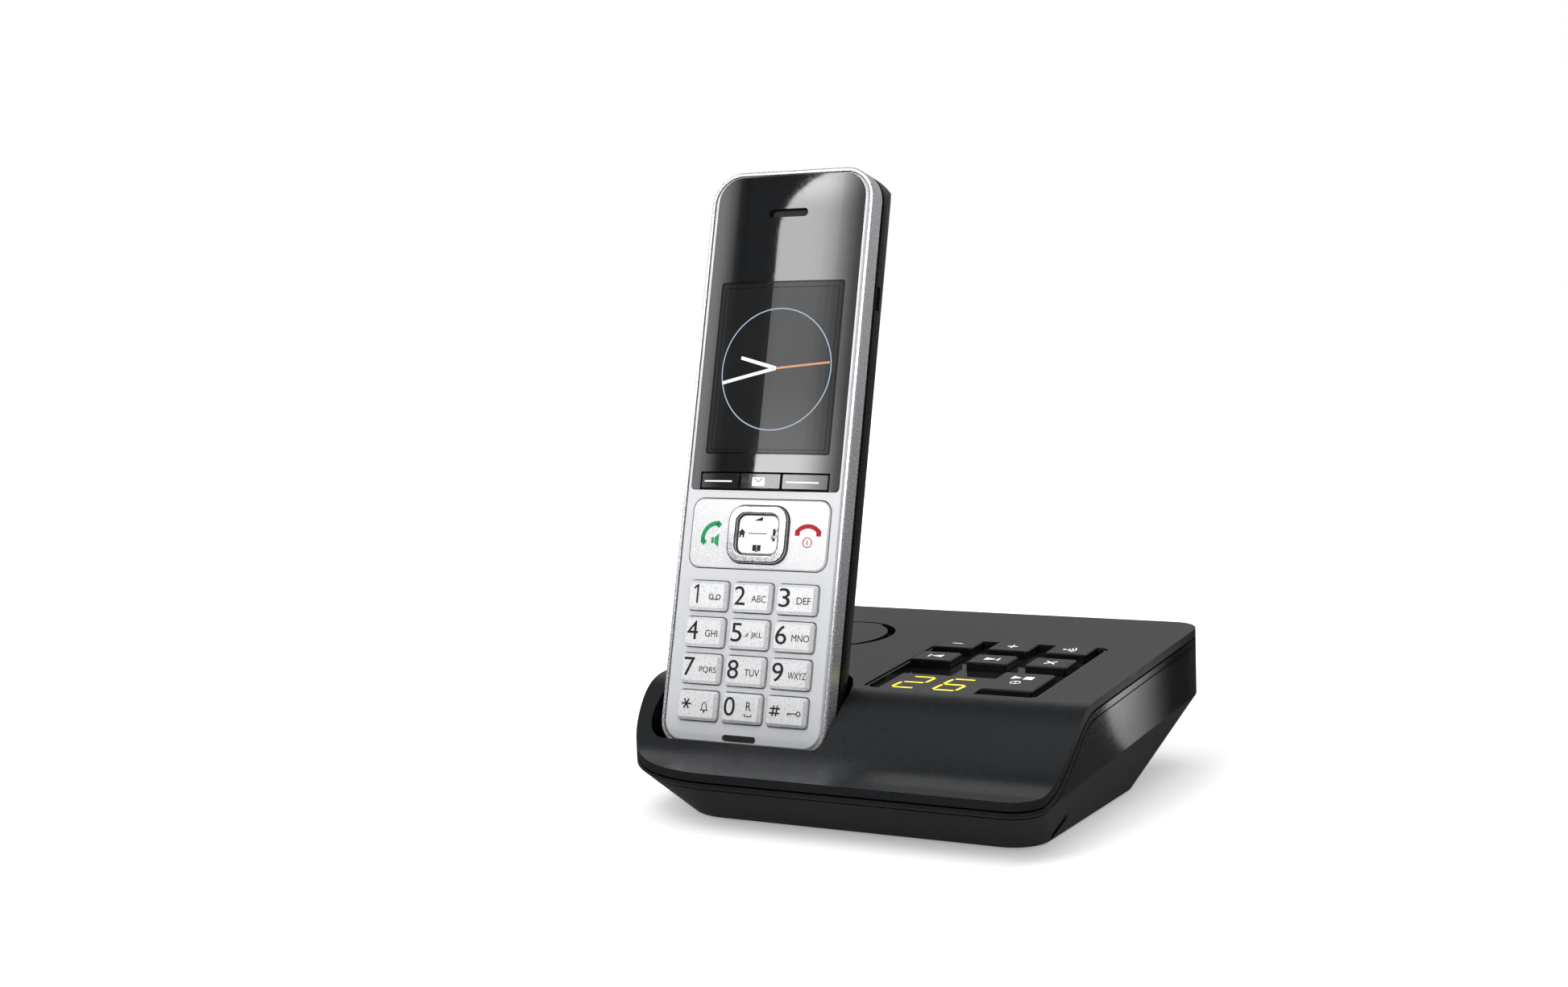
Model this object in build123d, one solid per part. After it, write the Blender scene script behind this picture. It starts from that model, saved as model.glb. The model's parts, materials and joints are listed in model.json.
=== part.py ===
from build123d import *
import os
from math import cos, hypot, radians, sin, tan

# ---------------------------------------------------------------- driving sizes (mm)
# Handset: local axes are u across the face, v up the face, n out of the face.
HANDSET_WIDTH = 50.0
HANDSET_BOTTOM = -1.5
HANDSET_TOP = 156.0
HANDSET_DEPTH = 26.0
TOP_CORNER = 9.0
BOTTOM_CORNER = 6.5
BAND_WALL = 1.0
BAND_DEPTH = 5.2
FACE_THICKNESS = 1.8
SHELL_WALL = 1.6
SEAM = -6.6
DOCK_LEAN = 15.1
DOCK_POINT = (-29.05, -40.6, 19.0)

LENS_HALF = 22.55
LENS_BOTTOM = 67.6
LENS_TOP = 154.3
LENS_BACK = -1.2
CROWN_RADIUS = 300.0
CROWN_RISE = 0.85
WINDOW = (-19.0, 19.0, 77.3, 124.8)

KEY_PITCH_U = 13.5
KEY_PITCH_V = 9.8
KEY_WIDTH = 12.0
KEY_HEIGHT = 7.9
KEY_FIRST_V = 9.3
KEY_TOP = 1.6
KEY_BEVEL = 0.75
KEY_GAP = 0.3

PANEL = (-20.9, 20.9, 46.4, 65.1)
NAV_CENTRE_V = 55.6
NAV_OUTER = (18.0, 15.4)
NAV_INNER = (12.75, 11.0)
NAV_PAD = (12.2, 10.45)
SOFT_KEYS = {
    "soft_key_left": (-19.5, -7.45),
    "soft_key_message": (-7.15, 5.35),
    "soft_key_right": (5.65, 19.4),
}
SOFT_V = (67.85, 72.15)
HANDSET_SCREWS = [(-11.5, 27.5), (11.5, 27.5), (-11.5, 136.5), (11.5, 136.5)]

# Base: X across, Y front to back, Z up, feet on Z = 0.
BASE_HALF_X = 63.35
BASE_HALF_Y = 63.1
TOP_BACK_Z = 39.3
TOP_SLOPE = 4.08
STEP_POINTS = [
    (-22.0, 33.2), (-27.5, 32.0), (-32.2, 29.6), (-37.0, 26.1), (-41.7, 22.7),
    (-46.3, 19.7), (-50.9, 17.7), (-56.0, 16.7), (-BASE_HALF_Y, 16.2),
]
LID_THICKNESS = 2.2
GROOVE = 0.5
CORNER_RIGHT = 8.0
CORNER_FRONT_LEFT = 36.5
CREASE_FRONT_Z = 12.9
CREASE_SLOPE = 3.2
SHELL_BOTTOM_Z = 0.8
HULL_BOTTOM = (-46.0, 57.0, -47.8, 27.0)
HULL_CORNERS = (15.5, 9.0)
BASE_WALL = 2.0
SHELL_LINE = (1.6, 0.4, 0.5)

POCKET_FRONT = 5.0
POCKET_LEFT = [(-28.3, -8.6), (-26.0, -13.2), (-21.7, -19.5), (-16.1, -25.3), (-10.0, -27.2)]
POCKET_RIGHT = [(26.5, -8.6), (25.1, -13.2), (21.7, -19.5), (16.1, -25.3), (10.0, -27.2)]
POCKET_CORNER_LEFT = 8.0
POCKET_CORNER_RIGHT = 3.0
POCKET_WALL = 1.45
POCKET_FLOOR_V = -1.9

RECESS = (-1.4, 48.3, -23.3, 29.3)
RECESS_DEPTH = 1.9
BUTTON_FOOT = -5.6
BUTTON_COLUMNS = (5.25, 21.85, 38.9)
BUTTON_ROWS = (23.65, 9.25)
BUTTON_SIZE = (11.7, 9.0)
PLAY_BUTTON = (30.9, 45.2, -19.6, -2.6)
LED_WINDOW = (2.2, 29.6, -21.9, -5.2)
SPEAKER_CENTRE = (-33.5, 29.4)
SPEAKER_RING = 14.9
BOSSES = [(52.5, -38.0), (52.5, 20.0), (4.0, -38.0), (-42.0, 4.0)]
FEET = [(47.0, -38.5), (47.0, 18.0), (-34.0, -36.0), (-36.0, 18.0)]
SOCKETS = {"line_socket": 15.0, "power_socket": 34.0}
SOCKET_OPENING = (9.8, 12.0, 6.8)
SOCKET_Z = 24.8
SIDE_SLOT = (-35.7, 4.0, 7.7, 2.6)
SIDE_SLOT_LEAN = 36.6
SIDE_SLOT_DEPTH = 1.2

PARTS = {}


# ---------------------------------------------------------------- small helpers
def rect_uv(u0, u1, v0, v1, radius=0.0):
    """Flat rectangle between two u and two v values, corners optionally rounded."""
    width, height = u1 - u0, v1 - v0
    shape = RectangleRounded(width, height, radius) if radius else Rectangle(width, height)
    return Pos((u0 + u1) / 2, (v0 + v1) / 2) * shape


def slab(face, n0, n1):
    """Extrude a flat face between two heights."""
    return Pos(0, 0, n0) * extrude(face, n1 - n0)


def block(u0, u1, v0, v1, n0, n1, radius=0.0):
    return slab(rect_uv(u0, u1, v0, v1, radius), n0, n1)


def rod(u, v, radius, n0, n1):
    return Pos(u, v, n0) * extrude(Circle(radius), n1 - n0)


def outer_edges(part, height):
    """Edges lying in the level plane at one height."""
    return part.edges().filter_by_position(Axis.Z, height - 1e-4, height + 1e-4)


def dock():
    """Frame that stands the handset in the pocket, leaning back."""
    lean = radians(DOCK_LEAN)
    return Plane(origin=DOCK_POINT, x_dir=(1, 0, 0), z_dir=(0, -cos(lean), sin(lean))).location


def top_frame():
    """Frame on the sloping top of the base; local y equals the world y offset along the slope."""
    slope = radians(TOP_SLOPE)
    return Plane(origin=(0, BASE_HALF_Y, TOP_BACK_Z), x_dir=(1, 0, 0),
                 z_dir=(0, -sin(slope), cos(slope))).location


def on_top(y):
    """World y turned into the distance along the sloping top."""
    return (y - BASE_HALF_Y) / cos(radians(TOP_SLOPE))


def one(shape):
    """The shape as a single solid or compound without empty wrappers."""
    solids = shape.solids()
    return solids[0] if len(solids) == 1 else Compound(children=list(solids))


def keep(name, shape, location=None):
    shape = one(shape)
    PARTS[name] = location * shape if location is not None else shape


# ---------------------------------------------------------------- handset outlines
def outline(inset=0.0):
    """Front view of the handset, moved inwards by inset."""
    half = HANDSET_WIDTH / 2 - inset
    low, high = HANDSET_BOTTOM + inset, HANDSET_TOP - inset
    top_r, low_r = max(TOP_CORNER - inset, 1.0), max(BOTTOM_CORNER - inset, 1.0)
    sketch = rect_uv(-half, half, low, high)
    corners = sketch.vertices().sort_by(Axis.Y)
    sketch = fillet(corners[2:], top_r)
    return fillet(sketch.vertices().sort_by(Axis.Y)[:2], low_r)


def moved(points, distance):
    """Points of an open line shifted sideways, to the left of the direction of travel."""
    shifted = []
    for k, (x, y) in enumerate(points):
        x0, y0 = points[max(k - 1, 0)]
        x1, y1 = points[min(k + 1, len(points) - 1)]
        length = hypot(x1 - x0, y1 - y0)
        shifted.append((x - (y1 - y0) / length * distance, y + (x1 - x0) / length * distance))
    return shifted


def seam_height(inset):
    """The inner hollow runs a little past the seam so that the shell is open."""
    return SEAM + (1.5 if inset else 0.0)


def across_profile(inset=0.0):
    """Cross-section of the back shell in u and n."""
    half = HANDSET_WIDTH / 2
    right = [(half, -8.2), (half - 1.3, -12.6), (half - 4.6, -18.6), (half - 9.8, -24.0)]
    curve = [(-u, n) for u, n in right] + [(0.0, -HANDSET_DEPTH)] + right[::-1]
    curve = moved(curve, inset)
    (u0, n0), (u1, n1) = curve[0], curve[-1]
    top = seam_height(inset)
    half -= inset
    rim = Polyline((u1, n1), (half, SEAM - 0.4), (half, top), (-half, top), (-half, SEAM - 0.4),
                   (u0, n0))
    return make_face(Spline(*curve) + rim)


def along_profile(inset=0.0):
    """Side view of the back shell in v and n, rounded off towards the top."""
    low, high, deep = HANDSET_BOTTOM, HANDSET_TOP, -HANDSET_DEPTH - 0.1
    points = [(low, SEAM), (low, -19.0), (low + 2.2, -23.6), (low + 8.0, deep), (high - 56.0, deep),
              (high - 30.0, -24.2), (high - 13.0, -18.6), (high - 3.2, -11.8), (high, SEAM)]
    points = moved(points, inset)
    top = seam_height(inset)
    start, end = (points[0][0], top), (points[-1][0], top)
    crest = Spline(*points[4:8], end, tangents=[(1, 0), (0.12, 1)])
    rest = Polyline(end, start, *points[1:5])
    face = make_face(crest + rest)
    bends = face.vertices().filter_by(lambda p: p.X < low + 12 and -26.5 < p.Y < -18.0)
    return fillet(bends, 2.0)


def back_volume(inset=0.0):
    """Rounded volume behind the seam: three views cut against each other."""
    across = Plane.XZ * across_profile(inset)
    across = Pos(0, 200, 0) * extrude(across, 300)
    along = Plane.YZ * along_profile(inset)
    along = Pos(-60, 0, 0) * extrude(along, 120)
    front = slab(outline(inset), -HANDSET_DEPTH - 2, 0)
    return across & along & front


def crown(n0):
    """Gently crowned slab standing on the height n0."""
    centre = CROWN_RISE - CROWN_RADIUS
    barrel = Plane.XZ * Circle(CROWN_RADIUS)
    barrel = Pos(0, 220, centre) * extrude(barrel, 300)
    return barrel & block(-26, 26, -5, 160, n0, CROWN_RISE + 1)


def key_centres():
    for row in range(4):
        for column in range(3):
            yield (column - 1) * KEY_PITCH_U, KEY_FIRST_V + (3 - row) * KEY_PITCH_V


# ---------------------------------------------------------------- handset mouldings
def lens_outline(grow=0.0):
    sketch = rect_uv(-LENS_HALF - grow, LENS_HALF + grow, LENS_BOTTOM - grow, LENS_TOP + grow)
    sketch = fillet(sketch.vertices().sort_by(Axis.Y)[2:], TOP_CORNER - 2.2 + grow)
    return fillet(sketch.vertices().sort_by(Axis.Y)[:2], 1.2)


def soft_opening(grow=0.0):
    return rect_uv(-19.8 - grow, 19.7 + grow, LENS_BOTTOM - 1, SOFT_V[1] + 0.3 + grow)


def make_front_shell():
    body = slab(outline(BAND_WALL + 0.25), -BAND_DEPTH, 0)
    body = chamfer(outer_edges(body, 0), 0.45)
    body -= slab(outline(BAND_WALL + 1.7), -BAND_DEPTH - 1, -FACE_THICKNESS)
    body -= slab(lens_outline(0.15), LENS_BACK - 0.15, 3)
    body -= block(-20.6, 20.6, 73.9, 150.6, -8, 3, 3.0)
    body -= block(-19.9, 19.8, SOFT_V[0] - 0.25, 73.0, -8, 3)
    u0, u1, v0, v1 = PANEL
    body -= block(u0 - KEY_GAP, u1 + KEY_GAP, v0 - KEY_GAP, v1 + KEY_GAP, -8, 3, 3.4)
    for u, v in key_centres():
        hw, hh = KEY_WIDTH / 2 + KEY_GAP, KEY_HEIGHT / 2 + KEY_GAP
        body -= block(u - hw, u + hw, v - hh, v + hh, -8, 3, 1.25)
    slot = block(-5.6, 4.6, 0.35, 2.15, -0.6, 3, 0.88)
    ports = rod(-2.2, 1.25, 0.6, -4, 3) + rod(1.2, 1.25, 0.6, -4, 3)
    return body - slot - ports


def make_lens():
    lens = crown(LENS_BACK) & slab(lens_outline(), LENS_BACK - 1, 3)
    lens -= slab(soft_opening(), LENS_BACK - 2, 3)
    return lens - block(-6.0, 6.0, 142.6, 144.9, LENS_BACK - 2, 3, 1.1)


def make_band():
    ring = slab(outline(), -BAND_DEPTH, -0.15) - slab(outline(BAND_WALL), -BAND_DEPTH - 1, 1)
    return chamfer(ring.faces().sort_by(Axis.Z)[-1].outer_wire().edges(), 0.35)


def battery_lid_volume(gap=0.0):
    return block(-17.0 - gap, 17.0 + gap, 38.0 - gap, 110.0 + gap, -30, -17.0, 4.0)


def make_back_shell():
    solid = back_volume()
    shell = solid - back_volume(SHELL_WALL)
    shell += slab(outline(0.95), SEAM - 0.5, -BAND_DEPTH - 0.1) - slab(outline(2.1), -9, 0)
    shell -= battery_lid_volume(0.25)
    bay = block(-14.2, 14.2, 42.5, 99.5, -21.8, -10.6, 1.5) & solid
    bay -= block(-12.9, 12.9, 43.8, 98.2, -40, -11.9, 1.0)
    shell += bay + (block(-24, 24, 42.5, 99.5, -11.9, -10.9) & solid)
    for side in (-1, 1):
        shell -= block(side * 24.6 - 1.6, side * 24.6 + 1.6, 118.0, 124.5, -9.4, -6.9)
        shell -= block(side * 9.0 - 3.1, side * 9.0 + 3.1, -3.0, 0.9, -16.6, -13.4)
    for row in range(4):
        shell -= block(-7.0, 7.0, 119.4 + row * 3.2, 120.8 + row * 3.2, -40, -20.0, 0.6)
    for u, v in HANDSET_SCREWS:
        boss = rod(u, v, 2.6, -24.5, -7.4) & solid
        shell += boss
        shell -= rod(u, v, 1.05, -40, 0) + rod(u, v, 2.0, -40, -18.5)
    return shell


def make_battery_cover():
    cover = (back_volume() - back_volume(SHELL_WALL)) & battery_lid_volume()
    for k in range(4):
        cover -= block(-6.0, 6.0, 101.0 + k * 1.6, 101.7 + k * 1.6, -30, -HANDSET_DEPTH + 0.4)
    return cover


def make_key(u, v):
    half_w, half_h = KEY_WIDTH / 2, KEY_HEIGHT / 2
    cap = block(u - half_w, u + half_w, v - half_h, v + half_h, -FACE_THICKNESS - 0.3, KEY_TOP, 1.0)
    cap = chamfer(outer_edges(cap, KEY_TOP), KEY_BEVEL)
    flange = block(u - half_w - 0.6, u + half_w + 0.6, v - half_h - 0.6, v + half_h + 0.6,
                   -FACE_THICKNESS - 0.75, -FACE_THICKNESS - 0.15, 1.2)
    return cap + flange


def make_soft_key(u0, u1):
    body = crown(-1.9) & block(u0, u1, *SOFT_V, -3, 3, 0.5)
    face = body.faces().sort_by(Axis.Z)[-1]
    return chamfer(face.outer_wire().edges(), 0.25)


def make_call_panel():
    u0, u1, v0, v1 = PANEL
    plate = block(u0, u1, v0, v1, -FACE_THICKNESS, 0.5, 3.2)
    plate = chamfer(outer_edges(plate, 0.5), 0.35)
    w, h = NAV_OUTER[0] / 2 + 0.3, NAV_OUTER[1] / 2 + 0.3
    return plate - block(-w, w, NAV_CENTRE_V - h, NAV_CENTRE_V + h, -5, 5, 4.5)


def make_nav_ring():
    w, h = NAV_OUTER[0] / 2, NAV_OUTER[1] / 2
    iw, ih = NAV_INNER[0] / 2, NAV_INNER[1] / 2
    ring = block(-w, w, NAV_CENTRE_V - h, NAV_CENTRE_V + h, -1.5, 1.7, 4.2)
    ring -= block(-iw, iw, NAV_CENTRE_V - ih, NAV_CENTRE_V + ih, -5, 5, 2.5)
    top = ring.faces().sort_by(Axis.Z)[-1]
    return fillet(top.edges(), 0.45)


def make_nav_plate():
    plate = block(-7.6, 7.6, NAV_CENTRE_V - 6.6, NAV_CENTRE_V + 6.6, -2.75, -2.25, 2.0)
    return plate - rod(0, NAV_CENTRE_V, 2.0, -5, 0)


def make_nav_pad():
    w, h = NAV_PAD[0] / 2, NAV_PAD[1] / 2
    pad = block(-w, w, NAV_CENTRE_V - h, NAV_CENTRE_V + h, -1.5, 0.75, 2.2)
    return chamfer(outer_edges(pad, 0.75), 0.25)


# ---------------------------------------------------------------- handset insides
def make_key_mat():
    mat = block(-20.4, 20.4, 3.6, 72.6, -4.5, -3.45, 2.0)
    for u, v in key_centres():
        mat += rod(u, v, 2.4, -5.2, -4.4)
    for u in (-15.0, 0.0, 15.0):
        mat += rod(u, NAV_CENTRE_V, 2.4, -5.2, -4.4)
    return mat


def make_handset_board():
    board = block(-20.6, 20.6, 4.0, 150.0, -6.7, -5.5, 3.0)
    chips = block(-16, -4, 80, 92, -7.9, -6.7) + block(4, 15, 78, 92, -7.7, -6.7)
    chips += block(-8, 8, 104, 112, -8.1, -6.7)
    board += chips
    for u, v in HANDSET_SCREWS:
        board -= rod(u, v, 1.3, -10, 0)
    return board


def make_lcd():
    u0, u1, v0, v1 = WINDOW
    frame = block(u0 - 1.2, u1 + 1.2, v0 - 2.6, v1 + 1.6, -4.9, -2.1, 0.8)
    return frame + block(u0 - 0.6, u1 + 0.6, v0 - 0.6, v1 + 0.6, -2.2, -1.5)


def make_cells():
    cells = []
    for side, flip in ((-1, 1), (1, -1)):
        can = Plane.XZ * Circle(5.2)
        can = Pos(side * 6.1, 94.0, -17.4) * extrude(can, 43.0)
        nub = Plane.XZ * Circle(1.9)
        end = 95.0 if flip > 0 else 51.0
        cells.append(can + Pos(side * 6.1, end, -17.4) * extrude(nub, 1.2))
    return Compound(children=[one(c) for c in cells])


def make_cell_contacts():
    plates = []
    for side, flip in ((-1, 1), (1, -1)):
        plates.append(block(side * 6.1 - 4.0, side * 6.1 + 4.0, 97.4, 97.9, -21.5, -13.0))
        plates.append(block(side * 6.1 - 4.0, side * 6.1 + 4.0, 44.1, 44.6, -21.5, -13.0))
        low = 44.9 if flip > 0 else 95.4
        coil = Plane.XZ * (Circle(3.2) - Circle(2.5))
        for turn in range(3):
            plates.append(Pos(side * 6.1, low + 0.5 + turn * 0.75, -17.4) * extrude(coil, 0.35))
    return Compound(children=[one(p) for p in plates])


def make_handset_speaker():
    cone = rod(0, 124.5, 10.5, -18.5, -13.0)
    return cone - (rod(0, 124.5, 8.6, -19, -17.6) - rod(0, 124.5, 3.6, -19, -17.6))


def make_screws(points, head_low, head_r, shank_r, tip, head_h):
    screws = []
    for u, v in points:
        screw = rod(u, v, head_r, head_low, head_low + head_h) + rod(u, v, shank_r, head_low, tip)
        screw -= block(u - head_r * 0.6, u + head_r * 0.6, v - 0.25, v + 0.25, head_low - 1,
                       head_low + head_h * 0.5)
        screw -= block(u - 0.25, u + 0.25, v - head_r * 0.6, v + head_r * 0.6, head_low - 1,
                       head_low + head_h * 0.5)
        screws.append(one(screw))
    return Compound(children=screws)


def handset():
    at = dock()
    keep("handset_front_shell", make_front_shell(), at)
    keep("display_lens", make_lens(), at)
    keep("handset_side_band", make_band(), at)
    keep("handset_back_shell", make_back_shell(), at)
    keep("battery_cover", make_battery_cover(), at)
    keep("lcd_module", make_lcd(), at)
    keep("earpiece_grille", block(-5.8, 5.8, 142.8, 144.7, -1.1, -0.6, 0.9), at)
    keep("earpiece_receiver", block(-7.5, 7.5, 138.5, 149.0, -5.0, -1.6, 2.0), at)
    names = ["key_1", "key_2", "key_3", "key_4", "key_5", "key_6", "key_7", "key_8", "key_9",
             "key_star", "key_0", "key_hash"]
    for name, (u, v) in zip(names, key_centres()):
        keep(name, make_key(u, v), at)
    for name, (u0, u1) in SOFT_KEYS.items():
        keep(name, make_soft_key(u0, u1), at)
    keep("call_panel", make_call_panel(), at)
    keep("nav_ring", make_nav_ring(), at)
    keep("nav_rocker_plate", make_nav_plate(), at)
    keep("nav_centre_pad", make_nav_pad(), at)
    keep("handset_key_mat", make_key_mat(), at)
    keep("handset_main_board", make_handset_board(), at)
    keep("rechargeable_cells", make_cells(), at)
    keep("cell_contacts", make_cell_contacts(), at)
    keep("handset_microphone", rod(-0.5, 2.4, 1.0, -4.6, -2.0), at)
    keep("handsfree_speaker", make_handset_speaker(), at)
    pads = [block(s * 9.0 - 2.9, s * 9.0 + 2.9, -1.35, 0.5, -16.4, -13.6) for s in (-1, 1)]
    keep("handset_charge_contacts", Compound(children=[one(p) for p in pads]), at)
    keep("handset_screws", make_screws(HANDSET_SCREWS, -20.6, 1.75, 0.95, -5.3, 1.6), at)


# ---------------------------------------------------------------- base outlines
def plan(inset=0.0):
    """Plan view of the base, moved inwards by inset."""
    hx, hy = BASE_HALF_X - inset, BASE_HALF_Y - inset
    sketch = rect_uv(-hx, hx, -hy, hy)
    left_front = [p for p in sketch.vertices() if p.X < 0 and p.Y < 0]
    sketch = fillet(left_front, CORNER_FRONT_LEFT - inset)
    right = [p for p in sketch.vertices()
             if abs(abs(p.X) - hx) < 1e-6 and abs(abs(p.Y) - hy) < 1e-6]
    return fillet(right, max(CORNER_RIGHT - inset, 1.0))


def profile(drop):
    """Long side view under the lid surface, the surface moved down by drop."""
    reach = BASE_HALF_Y + 12
    points = moved(STEP_POINTS, drop)
    back = (reach, points[0][1] + (reach - points[0][0]) * tan(radians(TOP_SLOPE)))
    front = (-reach, points[-1][1] - (reach + points[-1][0]) * 0.04)
    curve = Spline(*points, tangents=[(-1, -sin(radians(TOP_SLOPE))), (-1, -0.04)])
    under = Polyline(front, (-reach, -80), (reach, -80), back)
    face = make_face(Line(back, points[0]) + curve + Line(points[-1], front) + under)
    return face


def under_lid(drop, inset=0.0):
    """Everything below the lid surface moved down by drop, inside the plan outline."""
    column = Plane.YZ * profile(drop)
    column = Pos(-80, 0, 0) * extrude(column, 160)
    return column & slab(plan(inset), -40, 60)


def rounded_box(x0, x1, y0, y1, left_front, others):
    """Rectangle whose left front corner has its own radius."""
    sketch = rect_uv(x0, x1, y0, y1)
    corners = sketch.vertices().sort_by(lambda p: p.X + p.Y)
    sketch = fillet(corners[:1], left_front)
    rest = [p for p in sketch.vertices()
            if min(abs(p.X - x0), abs(p.X - x1)) < 1e-6 and min(abs(p.Y - y0), abs(p.Y - y1)) < 1e-6]
    return fillet(rest, others)


def hull(inset=0.0, floor=SHELL_BOTTOM_Z):
    """Lower body: straight walls down to the crease, then a taper to the smaller footprint."""
    reach = 1.3
    signs = (1, -1, 1, -1)
    low = [edge + sign * inset for edge, sign in zip(HULL_BOTTOM, signs)]
    widest = (-BASE_HALF_X, BASE_HALF_X, -BASE_HALF_Y, BASE_HALF_Y)
    wide = [edge + sign * inset for edge, sign in zip(widest, signs)]
    grown = [a + reach * (b - a) for a, b in zip(low, wide)]
    slope = radians(CREASE_SLOPE) * reach
    rise = CREASE_FRONT_Z - floor
    front_z = floor + reach * rise + (grown[2] - wide[2]) * sin(slope / reach) * reach
    tilt = Plane(origin=(0, grown[2], front_z), x_dir=(1, 0, 0), z_dir=(0, -sin(slope), cos(slope)))
    length = (grown[3] - grown[2]) / cos(slope)
    small = [corner - inset for corner in HULL_CORNERS]
    large = [corner - inset for corner in (CORNER_FRONT_LEFT, CORNER_RIGHT)]
    upper = rounded_box(grown[0], grown[1], 0, length,
                        *(a + reach * (b - a) for a, b in zip(small, large)))
    lower = rounded_box(*low, *small)
    taper = loft([Pos(0, 0, floor) * lower, tilt.location * upper], ruled=True)
    cap = extrude(tilt.location * upper, 60)
    return (taper + cap) & slab(plan(inset), floor, 70)


# ---------------------------------------------------------------- base mouldings
def front_corners(face, side):
    """Corners of the pocket outline on its front edge, on one side of the middle."""
    corners = [p for p in face.vertices() if p.Y > POCKET_FRONT - 1e-6 and p.X * side > 20]
    return sorted(corners, key=lambda p: p.X)


def pocket_shape(grow=0.0, floor_drop=0.0):
    """Well for the handset, leaning with it."""
    right = [(POCKET_RIGHT[0][0], POCKET_FRONT)] + POCKET_RIGHT
    left = POCKET_LEFT[::-1] + [(POCKET_LEFT[0][0], POCKET_FRONT)]
    face = make_face(Polyline(*right, *left, close=True))
    face = fillet(front_corners(face, -1), POCKET_CORNER_LEFT)
    face = fillet(front_corners(face, 1)[-1:], POCKET_CORNER_RIGHT)
    face = offset(face, grow) if grow else face
    lying = Plane(origin=(0, 0, 0), x_dir=(1, 0, 0), z_dir=(0, -1, 0))
    tall = extrude(lying * face, -80 - floor_drop)
    return dock() * (Pos(0, POCKET_FLOOR_V - floor_drop, 0) * tall)


def top_block(x0, x1, y0, y1, z0, z1, radius=0.0):
    """Block on the sloping top, z measured from the lid surface."""
    return top_frame() * block(x0, x1, on_top(y0), on_top(y1), z0, z1, radius)


def top_rod(x, y, radius, z0, z1):
    return top_frame() * rod(x, on_top(y), radius, z0, z1)


def button_boxes():
    names = iter(["volume_down_button", "volume_up_button", "page_button",
                  "previous_button", "next_button", "delete_button"])
    w, h = BUTTON_SIZE[0] / 2, BUTTON_SIZE[1] / 2
    for y in BUTTON_ROWS:
        for x in BUTTON_COLUMNS:
            yield next(names), (x - w, x + w, y - h, y + h)
    yield "play_stop_button", PLAY_BUTTON


def speaker_slots():
    """Ring groove round the speaker with a wide crescent on its right."""
    x, y = SPEAKER_CENTRE
    ring = top_rod(x, y, SPEAKER_RING, -1.2, 5) - top_rod(x, y, SPEAKER_RING - 0.9, -3, 6)
    slots = top_rod(x, y, SPEAKER_RING, -5, 5) - top_rod(x - 1.7, y - 0.4, SPEAKER_RING - 0.6, -6, 6)
    slots -= top_block(x - 40, x + 6.2, y - 40, y + 40, -7, 7)
    return ring + slots


def make_upper_shell():
    lid = under_lid(0) - under_lid(LID_THICKNESS)
    room = hull(BASE_WALL + 0.35, SHELL_BOTTOM_Z + BASE_WALL + 0.35)
    lid += pocket_shape(POCKET_WALL, 1.5) & under_lid(1.0, 2.6) & room
    for x, y in BOSSES:
        lid += Pos(x, y, 15.2) * extrude(Circle(3.2), 30) & under_lid(1.0, 3.0)
        lid -= Pos(x, y, 5) * extrude(Circle(1.35), 17)
    x0, x1, y0, y1 = RECESS
    lid -= top_block(x0, x1, y0, y1, -9, 6, 2.6)
    lid -= speaker_slots()
    lid -= pocket_shape()
    contact = dock() * (block(-12.5, -5.5, -6, 2, -17.2, -12.8) + block(5.5, 12.5, -6, 2, -17.2, -12.8))
    return lid - contact


def edge_line():
    """Shallow line round the lower shell, a little below the gap under the lid."""
    below, width, depth = SHELL_LINE
    start = LID_THICKNESS + GROOVE + below
    layer = under_lid(start, -0.5) - under_lid(start + width, -0.5)
    return layer - hull(depth)


def side_slot():
    """Small slanted blind slot low on the right wall."""
    y, z, length, width = SIDE_SLOT
    slot = Plane.YZ * (Pos(y, z) * Rot(0, 0, SIDE_SLOT_LEAN) * SlotOverall(length, width))
    return Pos(50, 0, 0) * extrude(slot, 20) - hull(SIDE_SLOT_DEPTH)


def make_lower_shell():
    outer = hull()
    top = under_lid(LID_THICKNESS + GROOVE)
    inner = hull(BASE_WALL, SHELL_BOTTOM_Z + BASE_WALL)
    shell = (outer & top) - inner - edge_line()
    for x, y in BOSSES:
        boss = Pos(x, y, 2) * extrude(Circle(4.2), 12.6)
        shell += boss & outer
        shell -= Pos(x, y, -1) * extrude(Circle(1.6), 20)
        shell -= Pos(x, y, -1) * extrude(Circle(3.0), 5.35)
    for x, y in FEET:
        shell -= Pos(x, y, -1) * extrude(Circle(5.2), 2.8)
    w, d, h = SOCKET_OPENING
    for x in SOCKETS.values():
        shell -= Pos(x, BASE_HALF_Y, SOCKET_Z) * Box(w + 3.4, 8, h + 2.4)
    for k in range(7):
        shell -= Pos(-4 + k * 5, -8, 0) * Box(2.2, 18, 8)
    return shell - side_slot()


def make_tray():
    x0, x1, y0, y1 = RECESS
    tray = top_block(x0 + 0.15, x1 - 0.15, y0 + 0.15, y1 - 0.15, -RECESS_DEPTH - 1.2, -0.35, 2.4)
    tray -= top_block(x0 + 1.0, x1 - 1.0, y0 + 1.0, y1 - 1.0, -RECESS_DEPTH, 4, 1.7)
    tray += top_block(x0 + 0.9, x1 + 0.8, y0 + 0.9, y1 + 1.6,
                      -RECESS_DEPTH - 1.2, -LID_THICKNESS - 0.1, 2.4)
    for _, (a, b, c, d) in button_boxes():
        tray -= top_block(a - 0.3, b + 0.3, c - 0.3, d + 0.3, -9, 4, 0.9)
    a, b, c, d = LED_WINDOW
    tray -= top_block(a, b, c, d, -9, 4, 0.6)
    return tray


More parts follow.
